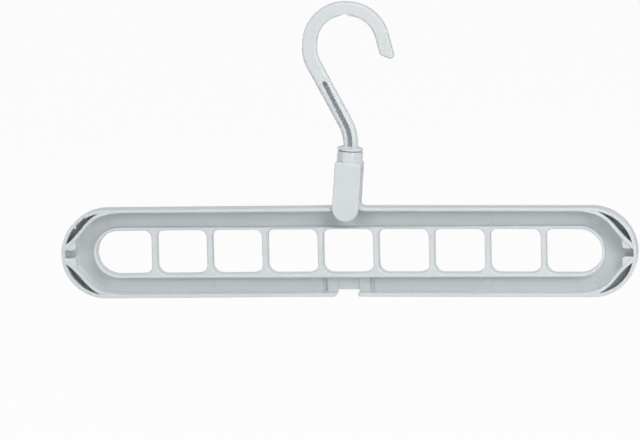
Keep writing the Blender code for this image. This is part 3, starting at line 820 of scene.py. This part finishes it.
def build_yoke(sizes):
    throat = BAR_DEPTH / 2 + RUNNING_GAP
    half_depth = throat + sizes.plate_wall
    yoke = prism("moulded_yoke", [yoke_outline(sizes)], -half_depth, half_depth)
    soften(yoke, sizes.plate_edge)
    side = sizes.width / 2 + OVERRUN
    opening = rectangle(-side, side, -PLATE_DROP - OVERRUN, THROAT_TOP)
    cut(yoke, "throat", [opening], -throat, throat)
    top = THROAT_TOP + BRIDGE_WALL + sizes.collar_height
    combine(yoke, build_collar(sizes, top), "UNION")
    bm = bmesh.new()
    tip = LIP_BITE - BAR_DEPTH / 2
    add_loft(bm, [(x, -throat - EMBED, z) for x, z in lip_outline(LIP_HEIGHT)],
             [(x, tip, z) for x, z in lip_outline(LIP_TIP_HEIGHT)])
    combine(yoke, new_piece("catch_lip", bm), "UNION")
    bore = SHANK_RADIUS + SHANK_CLEARANCE
    foot = THROAT_TOP - OVERRUN
    profile = [(0.0, foot), (bore, foot), (bore, top + OVERRUN), (0.0, top + OVERRUN)]
    combine(yoke, turned("bore_cutter", profile))
    settle(yoke)
    soften(yoke, sizes.edge_round)
    smooth(yoke)
    yoke.data.transform(Matrix.Translation(ROCK_PIVOT) @ Matrix.Rotation(SHANK_LEAN, 4, "Y"))
    return yoke


def arc_stations(centre, radius, start, end):
    """Points along an arc with the direction of travel at each."""
    points = arc(centre, radius, start, end)
    quarter_turn = math.copysign(QUARTER, end - start)
    turn = (end - start) / (len(points) - 1)
    return [(point, start + turn * step + quarter_turn) for step, point in enumerate(points)]


def crook_side(sizes):
    """Centre of the arc that leads from the stem into the crook's straight left side."""
    return (-sizes.crook_offset, sizes.crook_height - CROOK_SIDE_RUN)


def stem_slope(sizes):
    """Lean of the straight stem that runs on smoothly from the bend above the flange into the crook."""
    across = crook_side(sizes)[0] + STEM_BEND
    rise = crook_side(sizes)[1] - STEM_FOOT
    return math.atan2(rise, across) - math.acos((STEM_BEND + sizes.crook_radius) / math.hypot(across, rise))


def strip_stations(sizes):
    """Points of the strip's middle line with its direction there, from the flange to the arm's tip."""
    slope = stem_slope(sizes)
    right = (CROOK_TOP_RUN - sizes.crook_offset, sizes.crook_height)
    stations = [((0.0, sizes.flange_wall - 2 * EMBED), QUARTER)]
    stations += arc_stations((-STEM_BEND, STEM_FOOT), STEM_BEND, 0.0, slope)
    lower, heading = stations[-1]
    side = arc_stations(crook_side(sizes), sizes.crook_radius, math.pi + slope, math.pi)
    run = math.dist(lower, side[0][0])
    stations += [(onward(lower, heading, run * step / STEM_STEPS), heading) for step in range(1, STEM_STEPS)]
    stations += side
    stations += arc_stations((-sizes.crook_offset, sizes.crook_height), sizes.crook_radius, math.pi, QUARTER)
    stations += arc_stations(right, sizes.crook_radius, QUARTER, ARM_SLOPE)
    last, heading = stations[-1]
    stations.append((onward(last, heading, sizes.arm_length), heading))
    return stations


def half_width(sizes, heading):
    """Half the strip's width, which narrows from the top of the stem to the arm's tip."""
    bent = max(0.0, QUARTER - heading) / (math.pi - ARM_SLOPE)
    return (sizes.strip_width + (sizes.tip_width - sizes.strip_width) * bent) / 2


def beside(station, sideways, along=0.0):
    """A point beside the middle line: sideways is to the left of its direction."""
    point, heading = station
    return onward(onward(point, heading, along), heading + QUARTER, sideways)


def rounded_corner(before, corner, after, radius):
    """The arc that rounds a corner between two straight edges."""
    back = math.atan2(before[1] - corner[1], before[0] - corner[0])
    ahead = math.atan2(after[1] - corner[1], after[0] - corner[0])
    opening = math.remainder(ahead - back, math.tau)
    centre = onward(corner, back + opening / 2, radius / math.sin(abs(opening) / 2))
    start = back - math.copysign(QUARTER, opening)
    return arc(centre, radius, start, start - math.copysign(math.pi, opening) + opening)


def strip_outline(sizes):
    stations = strip_stations(sizes)
    outer, inner = ([beside(s, side * half_width(sizes, s[1])) for s in stations[:-1]] for side in (1, -1))
    half = sizes.tip_width / 2
    slant = half * math.tan(TIP_SLANT)
    outer_tip = beside(stations[-1], half, slant)
    inner_tip = beside(stations[-1], -half, -slant)
    outer_corner = rounded_corner(outer[-1], outer_tip, inner_tip, TIP_ROUND)
    inner_corner = rounded_corner(outer_tip, inner_tip, inner[-1], TIP_ROUND)
    return outer + outer_corner + inner_corner + inner[::-1]


def rod_seat_outline(sizes):
    """The notch that sits on the rod, cut upwards into the inside of the crook."""
    x = -sizes.crook_offset - SEAT_OFFSET
    inside = sizes.crook_height + sizes.crook_radius - half_width(sizes, 0.0)
    foot = inside - OVERRUN
    reach = SEAT_WIDTH / 2 * (SEAT_DEPTH + OVERRUN) / SEAT_DEPTH
    left = (x - reach, foot)
    right = (x + reach, foot)
    return [left] + rounded_corner(left, (x, inside + SEAT_DEPTH), right, SEAT_ROUND) + [right]


def channel_outline(sizes):
    """The blind channel down the stem's front face, round at its upper end."""
    half = CHANNEL_WIDTH / 2
    slope = stem_slope(sizes)
    stations = [((0.0, CHANNEL_FOOT), QUARTER)]
    stations += arc_stations((-STEM_BEND, STEM_FOOT), STEM_BEND, 0.0, slope)
    (x, z), heading = stations[-1]
    rise = CHANNEL_TOP - z
    end = (x - rise * math.tan(slope) + CHANNEL_TOP_SHIFT, CHANNEL_TOP)
    right = [beside(station, -half) for station in stations]
    left = [beside(station, half) for station in stations]
    return right + arc(end, half, heading - QUARTER, heading + QUARTER) + left[::-1]


def shank_profile(sizes, shoulder):
    """Half section of the head, the shank and the flange with its round rim."""
    edge = sizes.flange_wall / 2
    rim = arc((sizes.flange_radius - edge, edge), edge)
    tip = shoulder - HEAD_LAND - HEAD_TAPER
    return [(0.0, tip), (HEAD_TIP_RADIUS, tip), (HEAD_RADIUS, shoulder - HEAD_LAND), (HEAD_RADIUS, shoulder),
            (SHANK_RADIUS, shoulder), (SHANK_RADIUS, 0.0)] + rim + [(0.0, sizes.flange_wall)]


def strip_edge_radius(sizes, middle):
    """Radius of the strip's long edges, which are rounder low on the stem."""
    if middle.z < sizes.flange_wall:
        return 0.0
    sharpness = min(1.0, max(0.0, (middle.z - ROUND_STEM_TOP) / (SHARP_STEM_FOOT - ROUND_STEM_TOP)))
    return sizes.stem_edge + (sizes.strip_edge - sizes.stem_edge) * sharpness


def small_edge_radius(sizes, middle):
    """Radius of the smaller edges: none below the flange and at marks, its own at the channel's lips."""
    if middle.z < WELD or is_near(HOOK_MARKS, middle.x, middle.z, sizes.mark_radius + EMBED):
        return 0.0
    is_front = middle.y < -sizes.strip_depth / 4
    is_channel = 2 * CHANNEL_FOOT < middle.z < CHANNEL_TOP + CHANNEL_WIDTH
    return sizes.channel_edge if is_front and is_channel else sizes.edge_round


def build_hook(sizes, collar_height, material):
    front = -sizes.strip_depth / 2
    hook = prism("moulded_hook", [strip_outline(sizes)], front, -front)
    round_edges(hook, sizes.stem_edge, lambda middle, convex: strip_edge_radius(sizes, middle))
    shoulder = -(RUNNING_GAP + collar_height + BRIDGE_WALL + RUNNING_GAP)
    combine(hook, turned("shank", shank_profile(sizes, shoulder)), "UNION")
    cut(hook, "seat", [rod_seat_outline(sizes)], front - OVERRUN, -front + OVERRUN)
    cut(hook, "channel", [channel_outline(sizes)], front - OVERRUN, front + CHANNEL_DEPTH)
    low = shoulder - HEAD_LAND - HEAD_TAPER
    side = HEAD_RADIUS + OVERRUN
    opening = rectangle(-side, side, low - OVERRUN, low + PRONG_LENGTH)
    cut(hook, "prong_slot", [opening], -PRONG_SLOT / 2, PRONG_SLOT / 2)
    combine(hook, pin_marks(sizes, HOOK_MARKS, front, material))
    settle(hook)
    clean(hook)
    rise = CHANNEL_TOP - CHANNEL_FOOT
    beside_channel = [CHANNEL_FOOT + rise * step / STEM_STEPS for step in range(1, STEM_STEPS)]
    part_flats(hook, beside_channel)
    part_flats(hook, [CHANNEL_TOP, *(place[1] for place in HOOK_MARKS)])
    round_edges(hook, sizes.channel_edge, lambda middle, convex: small_edge_radius(sizes, middle))
    smooth(hook)
    hook.data.transform(Matrix.Translation(HOOK_SEAT) @ Matrix.Rotation(SHANK_LEAN, 4, "Y"))
    return hook


def noise(tree, scale, detail, roughness):
    """Fine noise in the piece's own coordinates."""
    place = add_node(tree, "TexCoord").outputs["Object"]
    return add_node(tree, "TexNoise", Vector=place, Scale=scale, Detail=detail, Roughness=roughness)


def spread(tree, factor, middle, reach):
    """The factor's values from 0 to 1, spread as far below a middle value as above it."""
    return add_node(tree, "MapRange", Value=factor, To_Min=middle - reach, To_Max=middle + reach)


def moulded_plastic(name, finish):
    """Satin plastic with a fine moulded grain and slightly cloudy colour."""
    material = bpy.data.materials.new(name)
    material.use_nodes = True
    tree = material.node_tree
    inputs = tree.nodes["Principled BSDF"].inputs
    shade = spread(tree, noise(tree, *CLOUD_NOISE), 1.0, finish.cloud)
    colour = add_node(tree, "VectorMath", ("operation", "SCALE"), Vector=finish.colour, Scale=shade)
    feed(tree, inputs["Base Color"], colour)
    smear = noise(tree, *SMEAR_NOISE)
    feed(tree, inputs["Roughness"], spread(tree, smear, finish.roughness, ROUGHNESS_SPREAD))
    grain = noise(tree, 1.0 / finish.grain_size, *GRAIN_NOISE)
    bump = add_node(tree, "Bump", Height=grain, Strength=1.0, Distance=finish.grain_height)
    feed(tree, inputs["Normal"], bump)
    inputs["IOR"].default_value = PLASTIC_IOR
    return material


def add_lamp(name, place, size, target, power):
    """A round soft lamp that points at a target."""
    lamp = bpy.data.lights.new(name, "AREA")
    lamp.shape = "DISK"
    lamp.size = size
    lamp.energy = power
    made = add_object(name, lamp)
    made.location = place
    made.rotation_euler = (target - Vector(place)).to_track_quat("-Z", "Y").to_euler()


def build_camera(settings):
    """A far camera, turned and tilted about the middle of the picture."""
    camera = bpy.data.cameras.new("camera")
    camera.lens = camera.sensor_width * settings.distance / settings.picture_width
    camera.clip_end = CLIP_END
    made = add_object("camera", camera)
    aim = Matrix.Rotation(settings.azimuth, 4, "Z") @ Matrix.Rotation(QUARTER - settings.elevation, 4, "X")
    roll = Matrix.Rotation(settings.roll, 4, "Z")
    middle = Matrix.Translation((settings.middle_x, 0.0, settings.middle_z))
    made.matrix_world = middle @ aim @ roll @ Matrix.Translation((0.0, 0.0, settings.distance))
    bpy.context.scene.camera = made


def shown_rays(tree):
    """One for what the camera sees, straight or through gloss or glass, and zero for the light that falls."""
    rays = add_node(tree, "LightPath").outputs
    reflected = maths(tree, "MAXIMUM", rays["Is Glossy Ray"], rays["Is Transmission Ray"])
    return maths(tree, "MAXIMUM", rays["Is Camera Ray"], reflected)


def show_white(tree, plain, white, amount, output):
    """Mixes a white into what the camera sees, and leaves the light that falls as it is."""
    mix = add_node(tree, "MixShader", Fac=maths(tree, "MULTIPLY", shown_rays(tree), amount))
    feed(tree, mix.inputs[1], plain)
    feed(tree, mix.inputs[2], white)
    feed(tree, tree.nodes[output].inputs["Surface"], mix)


def white_stage_material():
    """A pale surface that keeps the object's shadow and looks white to the camera."""
    material = bpy.data.materials.new("stage_white")
    material.use_nodes = True
    tree = material.node_tree
    shader = tree.nodes["Principled BSDF"]
    shader.inputs["Base Color"].default_value = STAGE_COLOUR
    shader.inputs["Roughness"].default_value = STAGE_ROUGHNESS
    glow = add_node(tree, "Emission", Strength=1.0)
    show_white(tree, shader, glow, STAGE_GLOW_SHARE, "Material Output")
    return material


def build_world(sky):
    """An even sky that the camera sees as plain white."""
    world = bpy.data.worlds.new("studio")
    world.use_nodes = True
    bpy.context.scene.world = world
    tree = world.node_tree
    light = tree.nodes["Background"]
    light.inputs["Color"].default_value = WHITE
    light.inputs["Strength"].default_value = sky
    white = add_node(tree, "Background", Color=WHITE, Strength=1.0)
    show_white(tree, light, white, 1.0, "World Output")


def build_floor():
    bm = bmesh.new()
    bmesh.ops.create_grid(bm, x_segments=1, y_segments=1, size=STAGE_HALF)
    floor = new_piece("studio_floor", bm)
    floor.data.transform(Matrix.Translation((0.0, 0.0, BAR_LOW.z - STAGE_DROP)))
    floor.data.materials.append(white_stage_material())


def hand_over(piece, body, node, material):
    """Gives the piece its plastic and ties it to the frame."""
    piece.data.materials.clear()
    piece.data.materials.append(material)
    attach(piece, body)
    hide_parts(node)


class HANGER_OT_bar(bpy.types.Operator):
    """Build the moulded bar with its garment holes"""

    bl_idname = "hanger.bar"
    bl_label = "Moulded bar"

    def execute(self, context):
        material = moulded_plastic("bar_plastic", context.scene.hanger_finish)
        bar = build_bar(context.scene.hanger_bar, material)
        hand_over(bar, "bar", "hanger_bar", material)
        return {"FINISHED"}


class HANGER_OT_yoke(bpy.types.Operator):
    """Build the yoke that clips over the bar's top rim"""

    bl_idname = "hanger.yoke"
    bl_label = "Yoke clip"

    def execute(self, context):
        material = moulded_plastic("yoke_plastic", context.scene.hanger_finish)
        yoke = build_yoke(context.scene.hanger_yoke)
        hand_over(yoke, "yoke", "yoke_clip", material)
        return {"FINISHED"}


class HANGER_OT_hook(bpy.types.Operator):
    """Build the hook that turns in the yoke's collar"""

    bl_idname = "hanger.hook"
    bl_label = "Swivel hook"

    def execute(self, context):
        scene = context.scene
        material = moulded_plastic("hook_plastic", scene.hanger_finish)
        hook = build_hook(scene.hanger_hook, scene.hanger_yoke.collar_height, material)
        hand_over(hook, "hook", "swivel_hook", material)
        return {"FINISHED"}


class HANGER_OT_studio(bpy.types.Operator):
    """Set up the camera, the lamps and the white stage"""

    bl_idname = "hanger.studio"
    bl_label = "White studio"

    def execute(self, context):
        settings = context.scene.hanger_studio
        context.scene.view_settings.view_transform = "Standard"
        build_camera(settings)
        build_world(settings.sky)
        build_floor()
        middle = Vector((settings.middle_x, 0.0, settings.middle_z))
        for name, (place, size) in LAMPS.items():
            add_lamp(name + "_lamp", place, size, middle, getattr(settings, name + "_power"))
        return {"FINISHED"}


class HANGER_PT_sidebar(bpy.types.Panel):
    """Sizes and buttons for the hanger"""

    bl_label = "Clothes hanger"
    bl_idname = "HANGER_PT_sidebar"
    bl_space_type = "VIEW_3D"
    bl_region_type = "UI"
    bl_category = "Hanger"

    def draw(self, context):
        for name, group in SETTINGS.items():
            box = self.layout.box()
            box.label(text=group.__doc__)
            for setting in group.__annotations__:
                box.prop(getattr(context.scene, name), setting)
        for operator in OPERATORS:
            self.layout.operator(operator.bl_idname)


SETTINGS = {
    "hanger_bar": BarSizes,
    "hanger_yoke": YokeSizes,
    "hanger_hook": HookSizes,
    "hanger_finish": PlasticFinish,
    "hanger_studio": StudioSettings,
}
OPERATORS = (HANGER_OT_bar, HANGER_OT_yoke, HANGER_OT_hook, HANGER_OT_studio)
CLASSES = (*SETTINGS.values(), *OPERATORS, HANGER_PT_sidebar)


def register():
    for each in CLASSES:
        bpy.utils.register_class(each)
    for name, group in SETTINGS.items():
        setattr(bpy.types.Scene, name, PointerProperty(type=group))


def unregister():
    for name in SETTINGS:
        delattr(bpy.types.Scene, name)
    for each in reversed(CLASSES):
        bpy.utils.unregister_class(each)


def main():
    register()
    bpy.ops.hanger.bar()
    bpy.ops.hanger.yoke()
    bpy.ops.hanger.hook()
    bpy.ops.hanger.studio()


if __name__ == "__main__":
    main()
